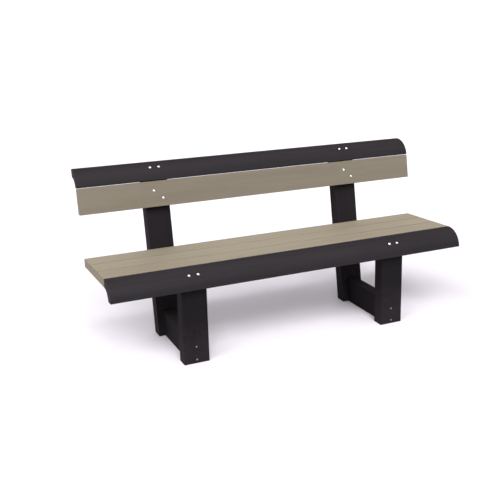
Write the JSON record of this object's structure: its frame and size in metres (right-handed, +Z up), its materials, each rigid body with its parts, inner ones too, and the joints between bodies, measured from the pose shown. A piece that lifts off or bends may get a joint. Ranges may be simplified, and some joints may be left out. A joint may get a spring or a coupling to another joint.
{
  "type": "park bench",
  "caption": "Park bench with a leaning backrest: plank seat and back on two dark side frames, edged in front and on top by a curved quarter-round profile.",
  "frame": {"origin": "on the ground, under the middle of the bench's length and depth", "axes": "+X along the bench's length, -Y towards the front of the seat, +Z up"},
  "size_m": [1.803, 0.5849, 0.8186],
  "materials": {
    "anthracite_board": "through-dyed recycled plastic board, satin, with a fine drawn grain along its length",
    "sand_board": "through-dyed recycled plastic board, satin, sand coloured with faint streaks along its length",
    "stainless_steel": "plain stainless steel, bright"
  },
  "bodies": {
    "root": {"front_leg_left": "anthracite_board", "front_leg_right": "anthracite_board", "rear_post_left": "anthracite_board", "rear_post_right": "anthracite_board", "seat_bearer_left": "anthracite_board", "seat_bearer_right": "anthracite_board", "ground_rail_left": "anthracite_board", "ground_rail_right": "anthracite_board", "seat_batten": "anthracite_board", "seat_front_profile": "anthracite_board", "back_top_profile": "anthracite_board", "seat_plank_front": "sand_board", "seat_plank_middle": "sand_board", "seat_plank_rear": "sand_board", "back_plank": "sand_board", "front_profile_screws": "stainless_steel", "top_profile_screws": "stainless_steel", "back_plank_bolts": "stainless_steel", "back_bolt_washers": "stainless_steel", "back_bolt_nuts": "stainless_steel", "foot_screws_front": "stainless_steel", "foot_screws_rear": "stainless_steel", "bearer_screws_front": "stainless_steel", "bearer_screws_rear": "stainless_steel", "seat_plank_screws": "stainless_steel", "batten_screws": "stainless_steel"}
  },
  "joints": []
}
